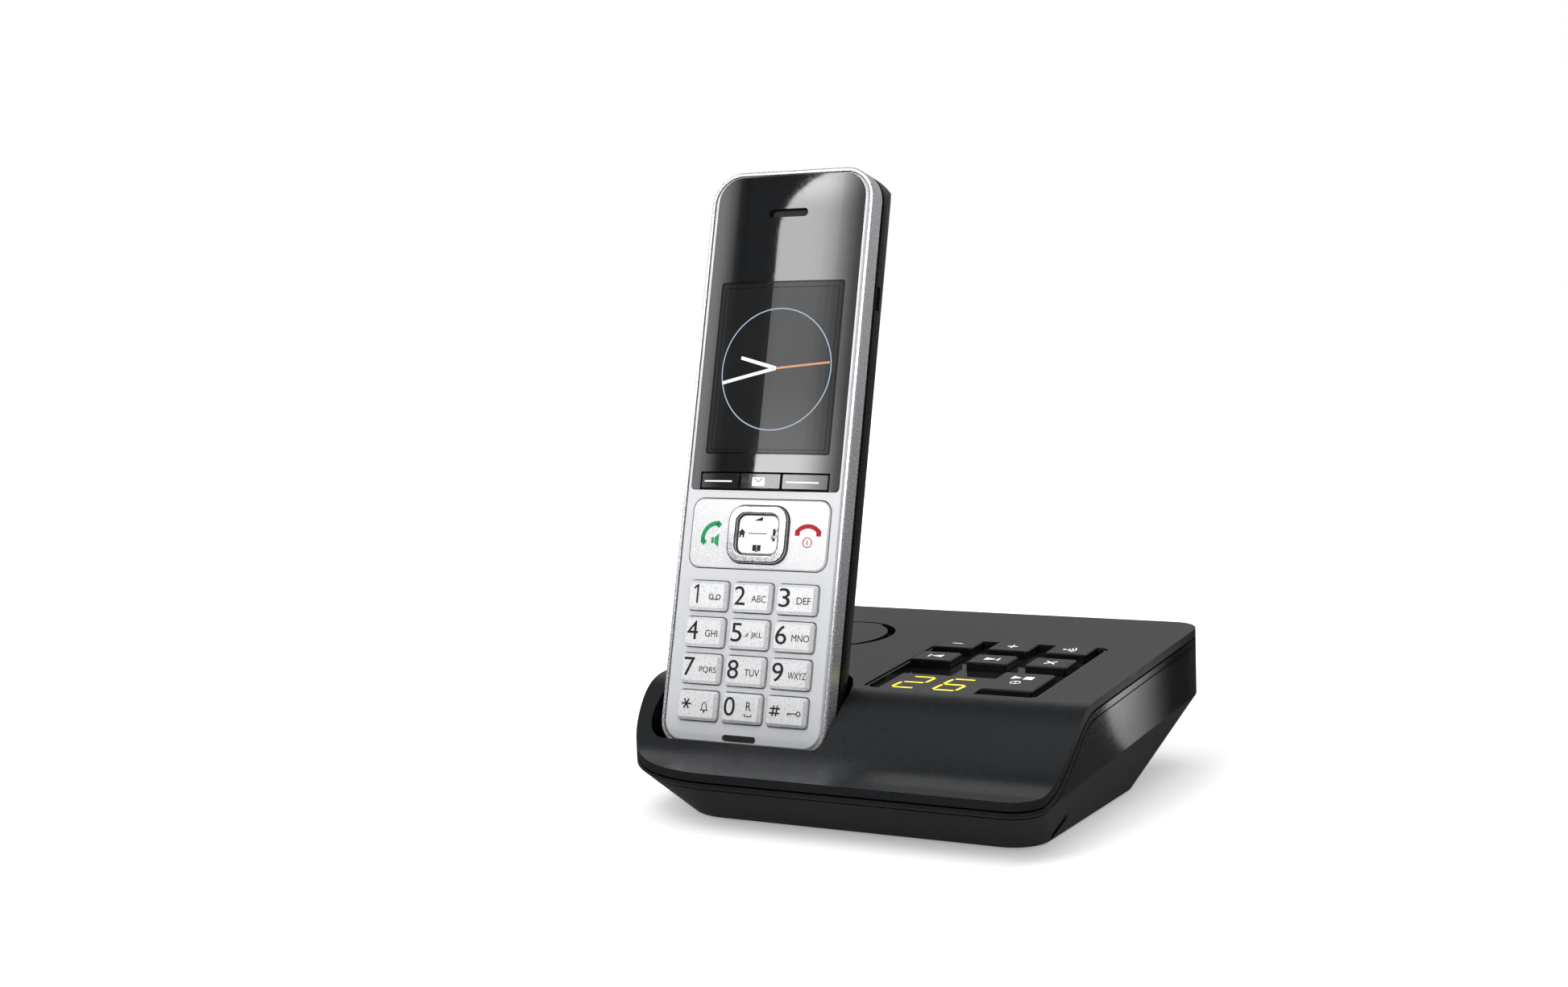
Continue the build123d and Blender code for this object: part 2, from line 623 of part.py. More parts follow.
def make_base_button(x0, x1, y0, y1):
    cap = block(x0, x1, on_top(y0), on_top(y1), BUTTON_FOOT, 0.5, 0.7)
    cap = chamfer(outer_edges(cap, 0.5), 0.35)
    flange = block(x0 - 0.8, x1 + 0.8, on_top(y0) - 0.8, on_top(y1) + 0.8,
                   -RECESS_DEPTH - 2.3, -RECESS_DEPTH - 1.5, 1.0)
    return top_frame() * (cap + flange)


def make_led_window():
    a, b, c, d = LED_WINDOW
    return top_block(a + 0.15, b - 0.15, c + 0.15, d - 0.15, -RECESS_DEPTH - 1.2, -0.8, 0.6)


def make_led_module():
    a, b, c, d = LED_WINDOW
    return top_block(a + 1.5, b - 1.5, c + 1.5, d - 1.5, -9.6, -RECESS_DEPTH - 1.5)


def make_base_mat():
    mat = top_block(-1.0, 48.0, -22.5, 29.0, -8.1, -7.1, 2.0)
    a, b, c, d = LED_WINDOW
    mat -= top_block(a + 0.8, b - 0.8, c + 0.8, d - 0.8, -9, -6)
    for _, (x0, x1, y0, y1) in button_boxes():
        mat += top_rod((x0 + x1) / 2, (y0 + y1) / 2, 2.6, -8.9, -8.0)
    return mat


def make_base_board():
    board = top_block(-0.4, 48.5, -26.0, 46.5, -11.4, -9.8, 1.5)
    board += top_block(8, 18, 33, 43, -9.8, -8.2) + top_block(24, 40, 34, 42, -9.8, -7.4)
    return board + top_block(2, 46, 10, 26, -13.2, -11.4)


def make_antennas():
    parts = []
    for x in (-1.2, 46.2):
        rail = top_block(x, x + 0.8, 29.8, 45.5, -9.8, -5.6)
        parts.append(one(rail - top_block(x - 1, x + 2, 33, 42, -9.9, -7.4)))
    return Compound(children=parts)


def make_loudspeaker():
    x, y = SPEAKER_CENTRE
    body = top_rod(x, y, 15.6, -5.4, -2.6) + top_rod(x, y, 10.5, -11.0, -5.4)
    return body - (top_rod(x, y, 13.4, -3.8, -2) - top_rod(x, y, 5.0, -4, -1))


def make_base_contacts():
    pins = []
    for side in (-1, 1):
        leaf = block(side * 9.0 - 2.6, side * 9.0 + 2.6, -4.6, -1.75, -16.4, -13.6)
        leaf += block(side * 9.0 - 2.6, side * 9.0 + 2.6, -4.6, -3.8, -20.5, -13.6)
        pins.append(one(leaf))
    return dock() * Compound(children=pins)


def make_socket(x, keyed):
    w, d, h = SOCKET_OPENING
    body = Pos(x, BASE_HALF_Y - 7.6, SOCKET_Z) * Box(w + 3.0, 14.2, h + 2.0)
    body -= Pos(x, BASE_HALF_Y - 0.5 - d / 2, SOCKET_Z) * Box(w, d, h)
    body -= Pos(x + keyed, BASE_HALF_Y - 0.5 - d / 2, SOCKET_Z - h / 2) * Box(3.4, d, 1.4)
    pins = [Pos(x - 2.55 + k * 1.02, BASE_HALF_Y - 8.0, SOCKET_Z + h / 2 - 0.9) * Box(0.45, 8.6, 0.5)
            for k in range(6)]
    for pin in pins:
        body += pin
    return body


def make_feet():
    pads = []
    for x, y in FEET:
        pad = Pos(x, y, 0) * extrude(Circle(4.9), 1.75)
        pads.append(one(chamfer(outer_edges(pad, 0), 0.4)))
    return Compound(children=pads)


def base():
    keep("base_upper_shell", make_upper_shell())
    keep("base_lower_shell", make_lower_shell())
    keep("keypad_tray", make_tray())
    for name, box in button_boxes():
        keep(name, make_base_button(*box))
    keep("message_counter_window", make_led_window())
    keep("led_digit_module", make_led_module())
    keep("base_key_mat", make_base_mat())
    keep("base_main_board", make_base_board())
    keep("radio_antennas", make_antennas())
    keep("base_loudspeaker", make_loudspeaker())
    keep("base_charge_contacts", make_base_contacts())
    keep("line_socket", make_socket(SOCKETS["line_socket"], 0.0))
    keep("power_socket", make_socket(SOCKETS["power_socket"], 2.0))
    keep("base_rubber_feet", make_feet())
    keep("base_screws", make_screws(BOSSES, 2.4, 2.7, 1.25, 21.0, 1.9))


def main():
    handset()
    base()
    os.makedirs("parts", exist_ok=True)
    for name, shape in PARTS.items():
        export_step(shape, f"parts/{name}.step")


main()
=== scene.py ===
import json
import math

import bmesh
import bpy
from mathutils import Matrix, Vector


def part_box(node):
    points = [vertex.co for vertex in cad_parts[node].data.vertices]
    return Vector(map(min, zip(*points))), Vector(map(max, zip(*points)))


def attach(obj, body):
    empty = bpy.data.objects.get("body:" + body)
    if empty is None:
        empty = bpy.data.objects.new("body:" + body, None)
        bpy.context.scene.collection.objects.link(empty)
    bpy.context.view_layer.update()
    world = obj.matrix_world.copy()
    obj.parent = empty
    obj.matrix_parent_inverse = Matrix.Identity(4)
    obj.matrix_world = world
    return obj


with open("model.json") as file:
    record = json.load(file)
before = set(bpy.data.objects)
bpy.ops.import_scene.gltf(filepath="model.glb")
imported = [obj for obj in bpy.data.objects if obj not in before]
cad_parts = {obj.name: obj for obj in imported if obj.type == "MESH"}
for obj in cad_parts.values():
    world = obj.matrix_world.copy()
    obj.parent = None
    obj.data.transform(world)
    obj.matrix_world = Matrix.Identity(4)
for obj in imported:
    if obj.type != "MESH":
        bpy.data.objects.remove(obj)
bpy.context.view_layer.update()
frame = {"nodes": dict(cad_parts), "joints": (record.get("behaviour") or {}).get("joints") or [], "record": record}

MM = 0.001
RIGHT = Vector((1, 0, 0))
JOINTS = {joint["name"]: joint for joint in frame["joints"]}
BODY_OF = {node: body for body, nodes in frame["record"]["behaviour"]["bodies"].items() for node in nodes}

# ------------------------------------------------------------------ camera
CAMERA_PLACE = (0.25985, -0.5308, 0.1433)
CAMERA_AZIMUTH, CAMERA_ELEVATION, CAMERA_ROLL = 29.106, 5.866, -1.965
CAMERA_LENS = 50.5


def make_camera():
    """Camera in front of the phone and to its right, a little above it."""
    a, e, r = (math.radians(x) for x in (CAMERA_AZIMUTH, CAMERA_ELEVATION, CAMERA_ROLL))
    look = Vector((-math.sin(a) * math.cos(e), math.cos(a) * math.cos(e), -math.sin(e)))
    side = Vector((math.cos(a), math.sin(a), 0))
    top = side.cross(look)
    turned_side = side * math.cos(r) + top * math.sin(r)
    turned_top = -side * math.sin(r) + top * math.cos(r)
    data = bpy.data.cameras.new("camera")
    data.lens, data.sensor_width, data.clip_start = CAMERA_LENS, 36.0, 0.01
    camera = bpy.data.objects.new("camera", data)
    bpy.context.scene.collection.objects.link(camera)
    camera.matrix_world = Matrix.Translation(CAMERA_PLACE) @ Matrix(
        (turned_side, turned_top, -look)).transposed().to_4x4()
    bpy.context.scene.camera = camera


# ------------------------------------------------------------------ faces of the object
class Face:
    """A flat face's directions: across, along and outward, all as distances in mm."""

    def __init__(self, along):
        self.axes = (RIGHT, along.normalized(), RIGHT.cross(along.normalized()))

    def span(self, node):
        """Lowest and highest distance of a CAD node along the three directions."""
        points = [[axis.dot(v.co) / MM for axis in self.axes] for v in frame["nodes"][node].data.vertices]
        return [min(p[k] for p in points) for k in range(3)], [max(p[k] for p in points) for k in range(3)]

    def point(self, u, v, n):
        return (self.axes[0] * u + self.axes[1] * v + self.axes[2] * n) * MM


FRONT = Face(Vector(JOINTS["handset_lift"]["axis"]))
TOP = Face((-Vector(JOINTS["page_button_press"]["axis"])).cross(RIGHT))
LENS_LOW, LENS_HIGH = FRONT.span("display_lens")
LENS_BOTTOM = 67.6
FACE_V0 = LENS_LOW[1] - LENS_BOTTOM
FACE_U0 = (LENS_LOW[0] + LENS_HIGH[0]) / 2
CROWN_RADIUS = 300.0


def crown(u):
    """Height of the gently crowned window across its width."""
    return LENS_HIGH[2] - CROWN_RADIUS + math.sqrt(CROWN_RADIUS ** 2 - (u - FACE_U0) ** 2)


# ------------------------------------------------------------------ outlines of small printed marks and of painted shade pieces (mm)
def circle(x, y, r, count=36, squash=1.0):
    steps = [2 * math.pi * k / count for k in range(count)]
    return [(x + r * math.cos(a), y + r * squash * math.sin(a)) for a in steps]


def ring(x, y, r, width):
    return [circle(x, y, r), circle(x, y, r - width)]


def rect(x0, x1, y0, y1):
    return [[(x0, y0), (x1, y0), (x1, y1), (x0, y1)]]


def rounded(x0, x1, y0, y1, r, count=8):
    points = []
    corners = ((x1 - r, y1 - r, 0), (x0 + r, y1 - r, 90), (x0 + r, y0 + r, 180), (x1 - r, y0 + r, 270))
    for cx, cy, start in corners:
        for k in range(count + 1):
            a = math.radians(start + 90 * k / count)
            points.append((cx + r * math.cos(a), cy + r * math.sin(a)))
    return points


def bar(x0, y0, x1, y1, width, end_width=None):
    """Straight stroke between two points."""
    end_width = width if end_width is None else end_width
    length = math.hypot(x1 - x0, y1 - y0)
    px, py = -(y1 - y0) / length / 2, (x1 - x0) / length / 2
    return [[(x0 + px * width, y0 + py * width), (x0 - px * width, y0 - py * width),
             (x1 - px * end_width, y1 - py * end_width), (x1 + px * end_width, y1 + py * end_width)]]


def arc(x, y, inner, outer, start, end, count=18):
    angles = [math.radians(start + (end - start) * k / count) for k in range(count + 1)]
    outside = [(x + outer * math.cos(a), y + outer * math.sin(a)) for a in angles]
    inside = [(x + inner * math.cos(a), y + inner * math.sin(a)) for a in reversed(angles)]
    return [outside + inside]


def turned(shapes, degrees, x=0.0, y=0.0):
    c, s = math.cos(math.radians(degrees)), math.sin(math.radians(degrees))
    return [[[(x + px * c - py * s, y + px * s + py * c) for px, py in loop] for loop in shape]
            for shape in shapes]


def shifted(shapes, x, y):
    return turned(shapes, 0, x, y)


def receiver():
    """Telephone receiver lying on its side, 7.4 mm long."""
    return [arc(0, -3.4, 3.75, 4.95, 38, 142), rect(-3.9, -2.45, -1.65, -0.2), rect(2.45, 3.9, -1.65, -0.2)]


def power_mark(x, y, r):
    return [ring(x, y, r, 0.24), rect(x - 0.13, x + 0.13, y - r * 0.5, y + r * 0.5)]


# ------------------------------------------------------------------ meshes
def take_mesh(curve):
    """Mesh of a curve or text, the helper object removed."""
    helper = bpy.data.objects.new("helper", curve)
    bpy.context.scene.collection.objects.link(helper)
    bpy.context.view_layer.update()
    mesh = bpy.data.meshes.new_from_object(helper.evaluated_get(bpy.context.evaluated_depsgraph_get()))
    bpy.data.objects.remove(helper)
    return mesh


def shape_mesh(loops, thickness):
    curve = bpy.data.curves.new("outline", "CURVE")
    curve.dimensions, curve.fill_mode, curve.extrude = "2D", "BOTH", thickness / 2
    for loop in loops:
        spline = curve.splines.new("POLY")
        spline.points.add(len(loop) - 1)
        for point, (x, y) in zip(spline.points, loop):
            point.co = (x, y, 0, 1)
        spline.use_cyclic_u = True
    return take_mesh(curve)


def text_mesh(text, x, y, height, width, thickness):
    """Text scaled to a given height and width, centred on x and y."""
    curve = bpy.data.curves.new("text", "FONT")
    curve.body, curve.size, curve.extrude = text, 10.0, thickness / 2
    mesh = take_mesh(curve)
    xs, ys = [v.co.x for v in mesh.vertices], [v.co.y for v in mesh.vertices]
    sx, sy = width / (max(xs) - min(xs)), height / (max(ys) - min(ys))
    cx, cy = (max(xs) + min(xs)) / 2, (max(ys) + min(ys)) / 2
    for vertex in mesh.vertices:
        vertex.co.x = x + (vertex.co.x - cx) * sx
        vertex.co.y = y + (vertex.co.y - cy) * sy
    return mesh


MARK_RAISED_SHARE = 0.25
WELD_DISTANCE = 1e-5


def marks(name, face, node, shapes=(), texts=(), origin=None, height=None, thickness=0.06, material=None,
          slices=0.0):
    """Printed or inlaid marks, or thin sheets of painted shade, on a CAD node, as one thin piece that rides with
    it.

    origin is the face position of the drawing's zero, by default the node's centre; height gives the
    face's outward distance for a position, by default the node's highest.
    """
    low, high = face.span(node)
    origin = origin or ((low[0] + high[0]) / 2, (low[1] + high[1]) / 2)
    height = height or (lambda u: high[2])
    meshes = [shape_mesh(shape, thickness) for shape in shapes]
    meshes += [text_mesh(*text, thickness) for text in texts]
    bm = bmesh.new()
    for mesh in meshes:
        bm.from_mesh(mesh)
        bpy.data.meshes.remove(mesh)
    if slices:
        xs = [v.co.x for v in bm.verts]
        for k in range(1, int((max(xs) - min(xs)) / slices) + 1):
            cut = (min(xs) + k * slices, 0, 0)
            bmesh.ops.bisect_plane(bm, geom=bm.verts[:] + bm.edges[:] + bm.faces[:], plane_co=cut,
                                   plane_no=(1, 0, 0))
    bmesh.ops.remove_doubles(bm, verts=bm.verts, dist=WELD_DISTANCE)
    for vertex in bm.verts:
        u, v = origin[0] + vertex.co.x, origin[1] + vertex.co.y
        vertex.co = face.point(u, v, height(u) + vertex.co.z + thickness * MARK_RAISED_SHARE)
    return add_piece(name, bm, material, BODY_OF[node])


def add_piece(name, bm, material, body):
    bmesh.ops.recalc_face_normals(bm, faces=bm.faces)
    mesh = bpy.data.meshes.new(name)
    bm.to_mesh(mesh)
    bm.free()
    piece = bpy.data.objects.new(name, mesh)
    bpy.context.scene.collection.objects.link(piece)
    mesh.materials.append(material)
    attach(piece, body)
    return piece


# ------------------------------------------------------------------ materials
def new_material(name):
    material = bpy.data.materials.new(name)
    material.use_nodes = True
    nodes, links = material.node_tree.nodes, material.node_tree.links
    return material, nodes, links, nodes["Principled BSDF"]


CLOUD_SCALE, CLOUD_DETAIL = 28.0, 2.0
GRAIN_SHARE, CLOUD_SHARE = 0.6, 0.4
NOISE_LOW, NOISE_HIGH = 0.3, 0.7
SMOOTHEST = 0.02


def surface(name, dark, light, rough, metallic=0.0, scale=900.0, bump=0.05, bump_size=0.00006,
            coat=0.0, coat_rough=0.05, ior=1.5, specular=0.5, rough_spread=0.06, glow=None,
            glow_strength=0.0, detail=3.0, stretch=(1, 1, 1)):
    """Moulded, painted or metal surface: fine grain in colour, roughness and relief."""
    material, nodes, links, shader = new_material(name)
    place = nodes.new("ShaderNodeTexCoord")
    mapping = nodes.new("ShaderNodeMapping")
    mapping.inputs["Scale"].default_value = stretch
    links.new(place.outputs["Object"], mapping.inputs["Vector"])
    grain = nodes.new("ShaderNodeTexNoise")
    grain.inputs["Scale"].default_value, grain.inputs["Detail"].default_value = scale, detail
    links.new(mapping.outputs["Vector"], grain.inputs["Vector"])
    cloud = nodes.new("ShaderNodeTexNoise")
    cloud.inputs["Scale"].default_value, cloud.inputs["Detail"].default_value = CLOUD_SCALE, CLOUD_DETAIL
    links.new(place.outputs["Object"], cloud.inputs["Vector"])
    both = nodes.new("ShaderNodeMath")
    both.operation = "MULTIPLY_ADD"
    both.inputs[1].default_value = GRAIN_SHARE
    links.new(grain.outputs["Fac"], both.inputs[0])
    share = nodes.new("ShaderNodeMath")
    share.operation = "MULTIPLY"
    share.inputs[1].default_value = CLOUD_SHARE
    links.new(cloud.outputs["Fac"], share.inputs[0])
    links.new(share.outputs[0], both.inputs[2])
    ramp = nodes.new("ShaderNodeValToRGB")
    low_stop, high_stop = ramp.color_ramp.elements
    low_stop.position, low_stop.color = NOISE_LOW, (*dark, 1)
    high_stop.position, high_stop.color = NOISE_HIGH, (*light, 1)
    links.new(both.outputs[0], ramp.inputs["Fac"])
    links.new(ramp.outputs["Color"], shader.inputs["Base Color"])
    spread = nodes.new("ShaderNodeMapRange")
    spread.inputs["From Min"].default_value, spread.inputs["From Max"].default_value = NOISE_LOW, NOISE_HIGH
    spread.inputs["To Min"].default_value = max(rough - rough_spread, SMOOTHEST)
    spread.inputs["To Max"].default_value = rough + rough_spread
    links.new(grain.outputs["Fac"], spread.inputs["Value"])
    links.new(spread.outputs["Result"], shader.inputs["Roughness"])
    relief = nodes.new("ShaderNodeBump")
    relief.inputs["Strength"].default_value, relief.inputs["Distance"].default_value = bump, bump_size
    links.new(grain.outputs["Fac"], relief.inputs["Height"])
    links.new(relief.outputs["Normal"], shader.inputs["Normal"])
    shader.inputs["Metallic"].default_value = metallic
    shader.inputs["IOR"].default_value = ior
    shader.inputs["Specular IOR Level"].default_value = specular
    shader.inputs["Coat Weight"].default_value = coat
    shader.inputs["Coat Roughness"].default_value = coat_rough
    if glow:
        shader.inputs["Emission Color"].default_value = (*glow, 1)
        shader.inputs["Emission Strength"].default_value = glow_strength
    return material


def grey(value, tint=0.0):
    return (value * (1 - tint), value, value * (1 + tint))


LOOKS = {
    "silver_plastic": dict(dark=(0.58, 0.59, 0.61), light=(0.63, 0.64, 0.66), rough=0.42, metallic=0.2,
                           scale=2600, bump=0.03),
    "polished_band": dict(dark=(0.60, 0.61, 0.63), light=(0.65, 0.66, 0.68), rough=0.27, metallic=0.65,
                          scale=2200, bump=0.012),
    "key_silver": dict(dark=(0.70, 0.705, 0.715), light=(0.76, 0.765, 0.775), rough=0.30, metallic=0.2,
                       scale=2400, bump=0.05, coat=0.4, coat_rough=0.12),
    "chrome_ring": dict(dark=(0.50, 0.51, 0.53), light=(0.60, 0.61, 0.63), rough=0.16, metallic=0.9,
                        scale=1500, bump=0.006, rough_spread=0.03),
    "gloss_black": dict(dark=grey(0.010), light=grey(0.015, 0.05), rough=0.08, scale=1400, bump=0.01,
                        rough_spread=0.03),
    "black_plastic": dict(dark=grey(0.007), light=grey(0.014, 0.05), rough=0.28, scale=2000, bump=0.03),
    "charcoal": dict(dark=(0.008, 0.009, 0.010), light=(0.012, 0.0135, 0.015), rough=0.32, scale=2600,
                     bump=0.03),
    "smoked_lens": dict(dark=grey(0.008), light=grey(0.012, 0.1), rough=0.035, scale=900, bump=0.004,
                        rough_spread=0.012, ior=1.55),
    "metal_contact": dict(dark=(0.72, 0.52, 0.22), light=(0.86, 0.66, 0.42), rough=0.22, metallic=1.0,
                          bump=0.05),
    "steel": dict(dark=(0.48, 0.48, 0.49), light=(0.62, 0.62, 0.63), rough=0.3, metallic=1.0, bump=0.08,
                  stretch=(1, 6, 1)),
    "silicone": dict(dark=grey(0.045), light=grey(0.065), rough=0.6, bump=0.1, scale=1500),
    "foot_rubber": dict(dark=grey(0.012), light=grey(0.02), rough=0.75, bump=0.3, scale=1600),
    "board_green": dict(dark=(0.008, 0.05, 0.022), light=(0.014, 0.08, 0.034), rough=0.35, bump=0.1,
                        scale=600),
    "module_grey": dict(dark=grey(0.03), light=grey(0.045), rough=0.4, bump=0.08),
    "cell_jacket": dict(dark=(0.02, 0.12, 0.05), light=(0.03, 0.16, 0.07), rough=0.2, bump=0.04, coat=0.5),
    "speaker_black": dict(dark=grey(0.01), light=grey(0.018), rough=0.55, bump=0.3, scale=1800),
}
OWN_LOOKS = {
    "call_panel": dict(dark=(0.61, 0.61, 0.62), light=(0.67, 0.67, 0.68), rough=0.26, metallic=0.15,
                       scale=2400, bump=0.03, coat=0.5, coat_rough=0.1),
    "nav_centre_pad": dict(dark=(0.80, 0.80, 0.81), light=(0.86, 0.86, 0.87), rough=0.25, metallic=0.05,
                           scale=2400, bump=0.03, coat=0.5, coat_rough=0.1),
}
# black for the printed marks, and for the painted shade at the bottom of the microphone slot
INK_AND_SLOT_SHADE = surface("ink_black_and_slot_shade", grey(0.006), grey(0.011), 0.5, scale=3000)
# white with a small glow: the lit display's own light on the clock hands, painted light on the printed soft-key
# and message marks
WHITE_INK_WITH_GLOW = surface("ink_white_with_glow", grey(0.72), grey(0.82), 0.5, scale=3000, glow=(1, 1, 1), glow_strength=0.12)
# pale print on the base's buttons, with a painted glow added to its colour
BUTTON_INK_WITH_PAINTED_GLOW = surface("ink_pale_painted_glow", grey(0.80), grey(0.88), 0.5, scale=3000, glow=(1, 1, 1), glow_strength=0.45)
GREEN_INK = surface("ink_green", (0.003, 0.23, 0.075), (0.006, 0.28, 0.10), 0.45, scale=3000)
RED_INK = surface("ink_red", (0.32, 0.003, 0.006), (0.38, 0.005, 0.010), 0.45, scale=3000)
SECONDS_INK = surface("ink_tan", (0.50, 0.20, 0.12), (0.56, 0.25, 0.15), 0.5, scale=3000,
                      glow=(0.6, 0.25, 0.15), glow_strength=0.18)
DIAL_INK = surface("ink_blue_grey", (0.26, 0.32, 0.40), (0.32, 0.38, 0.46), 0.5, scale=3000,
                   glow=(0.3, 0.36, 0.43), glow_strength=0.15)
SEGMENTS = surface("lit_segment", (0.85, 0.70, 0.02), (0.95, 0.8, 0.05), 0.4, scale=2500,
                   glow=(1.0, 0.84, 0.03), glow_strength=0.75)
PANEL_GLASS = surface("display_panel", grey(0.011), grey(0.015, 0.05), 0.05, scale=1800, bump=0.003,
                      rough_spread=0.01, ior=1.5, specular=0.134)
# very dark for the two thin lines round the display panel: painted shade of the window's recess edges
RECESS_SHADE_INK = surface("display_recess_shade", grey(0.002), grey(0.004), 0.12, scale=1800, bump=0.01, specular=0.1)


def dress_frame():
    """Every CAD node gets the procedural material of its slot, or one of its own."""
    slots = {row["node"]: row["material_slot"] for row in frame["record"]["subparts"]}
    made = {slot: surface(slot + "_look", **look) for slot, look in LOOKS.items()}
    for node, obj in frame["nodes"].items():
        own = OWN_LOOKS.get(node)
        material = surface(node + "_look", **own) if own else made[slots[node]]
        obj.data.materials.clear()
        obj.data.materials.append(material)


# ------------------------------------------------------------------ marks on the handset
DIGIT_PLACE, DIGIT_SIZE = (-3.25, 0.35), (5.0, 3.3)
WORD_PLACE = (2.55, -0.35)
WORD_HEIGHT = 1.85
WORDS = {"2": ("ABC", 4.4), "3": ("DEF", 4.2), "4": ("GHI", 3.8), "5": ("JKL", 3.5), "6": ("MNO", 5.2),
         "7": ("PQRS", 5.2), "8": ("TUV", 4.4), "9": ("WXYZ", 5.4)}


def key_symbols(key):
    """The small sign printed beside the figure on five of the keys."""
    x, y = WORD_PLACE
    if key == "1":
        return [ring(x - 1.1, y, 0.75, 0.26), ring(x + 1.1, y, 0.75, 0.26),
                rect(x - 1.1, x + 1.1, y - 0.78, y - 0.52)]
    if key == "5":
        return [[[(x - 2.9, y + 0.05), (x - 2.2, y + 0.05), (x - 2.3, y + 0.75)]],
                rect(x - 3.2, x - 2.3, y - 0.3, y - 0.1)]
    if key == "0":
        return [rect(x - 1.1, x + 1.1, y - 1.75, y - 1.5), rect(x - 1.1, x - 0.86, y - 1.5, y - 0.95),
                rect(x + 0.86, x + 1.1, y - 1.5, y - 0.95)]
    if key == "star":
        outer = [(x - 1.25, y - 0.95), (x + 1.25, y - 0.95), (x + 0.8, y - 0.3), (x + 0.72, y + 0.7),
                 (x + 0.3, y + 1.35), (x - 0.3, y + 1.35), (x - 0.72, y + 0.7), (x - 0.8, y - 0.3)]
        inner = [(x - 0.72, y - 0.70), (x + 0.72, y - 0.70), (x + 0.55, y - 0.25), (x + 0.47, y + 0.6),
                 (x + 0.2, y + 1.08), (x - 0.2, y + 1.08), (x - 0.47, y + 0.6), (x - 0.55, y - 0.25)]
        return [[outer, inner], [circle(x, y - 1.25, 0.3)]]
    if key == "hash":
        return [ring(x + 1.45, y, 0.7, 0.28), rect(x - 1.8, x + 0.8, y - 0.13, y + 0.13),
                rect(x - 1.75, x - 1.4, y - 0.6, y - 0.1), rect(x - 0.95, x - 0.7, y - 0.5, y - 0.1)]
    return []


def figure_one(x, y, height, stroke=0.55):
    """Upright with a short flag, kept narrow."""
    top, low = y + height / 2, y - height / 2
    flag = [[(x + 0.2, top), (x + 0.2, top - 0.75), (x - 0.75, top - 1.35), (x - 0.75, top - 0.75)]]
    return [rect(x + 0.15, x + 0.15 + stroke, low, top), flag]


SIGN_STROKE = 0.42
STAR_CENTRE, STAR_ARM = (-3.0, 0.3), 1.45


def star_sign():
    """Three strokes through one point, 60 degrees apart."""
    x, y = STAR_CENTRE
    strokes = []
    for degrees in (0, 60, 120):
        c, s = math.cos(math.radians(degrees)), math.sin(math.radians(degrees))
        strokes.append(bar(x - STAR_ARM * c, y - STAR_ARM * s, x + STAR_ARM * c, y + STAR_ARM * s,
                           SIGN_STROKE))
    return strokes


def hash_sign():
    """Two leaning uprights and two level strokes."""
    return [bar(-3.75, -1.35, -3.35, 1.45, SIGN_STROKE), bar(-2.65, -1.35, -2.25, 1.45, SIGN_STROKE),
            bar(-4.5, 0.65, -1.4, 0.65, SIGN_STROKE), bar(-4.7, -0.55, -1.6, -0.55, SIGN_STROKE)]


def print_keys():
    for key in "1234567890":
        texts = [] if key == "1" else [(key, *DIGIT_PLACE, *DIGIT_SIZE)]
        own = figure_one(*DIGIT_PLACE, DIGIT_SIZE[0]) if key == "1" else []
        if key in WORDS:
            word, width = WORDS[key]
            lean = 0.35 if key == "5" else 0.0
            texts.append((word, WORD_PLACE[0] + lean, WORD_PLACE[1], WORD_HEIGHT, width))
        if key == "0":
            texts.append(("R", WORD_PLACE[0], WORD_PLACE[1] + 1.0, 2.3, 1.55))
        marks("legend_" + key, FRONT, "key_" + key, key_symbols(key) + own, texts, material=INK_AND_SLOT_SHADE)
    marks("legend_star", FRONT, "key_star", key_symbols("star") + star_sign(), material=INK_AND_SLOT_SHADE)
    marks("legend_hash", FRONT, "key_hash", key_symbols("hash") + hash_sign(), material=INK_AND_SLOT_SHADE)


FACE_ZERO = (FACE_U0, FACE_V0)


def print_call_panel():
    talk = turned(receiver(), 48, -15.3, 56.3)
    speaker = [rect(-14.4, -13.6, 52.9, 54.5), [[(-13.4, 53.0), (-12.1, 51.9), (-12.1, 55.6), (-13.4, 54.5)]]]
    marks("legend_talk", FRONT, "call_panel", talk + speaker, origin=FACE_ZERO, material=GREEN_INK)
    end = shifted(receiver(), 14.9, 57.3) + power_mark(14.9, 53.9, 1.4)
    marks("legend_end", FRONT, "call_panel", end, origin=FACE_ZERO, material=RED_INK)
    home = [[[(-6.1, 55.9), (-4.95, 57.1), (-3.8, 55.9)]],
            [[(-5.7, 54.7), (-5.2, 54.7), (-5.2, 55.3), (-4.7, 55.3), (-4.7, 54.7), (-4.2, 54.7),
              (-4.2, 55.95), (-5.7, 55.95)]]]
    wedge = [[[(-1.6, 59.3), (1.1, 59.3), (1.1, 60.4)]]]
    book = [rect(-1.35, -0.12, 51.2, 52.8), rect(0.02, 1.15, 51.2, 52.8), rect(-0.5, 0.3, 50.95, 51.15)]
    mute = [[rounded(4.45, 5.25, 55.3, 57.3, 0.38)], [circle(4.85, 54.3, 0.42)],
            bar(3.95, 54.4, 5.95, 57.2, 0.2), arc(4.85, 55.6, 0.75, 0.92, 180, 360),
            rect(4.76, 4.94, 54.3, 54.9)]
    middle_line = [rect(-3.0, 2.7, 55.75, 55.98)]
    marks("legend_navigation", FRONT, "nav_centre_pad", home + wedge + book + mute + middle_line,
          origin=FACE_ZERO, material=INK_AND_SLOT_SHADE)


MICROPHONE_SLOT_DEPTH = 0.56


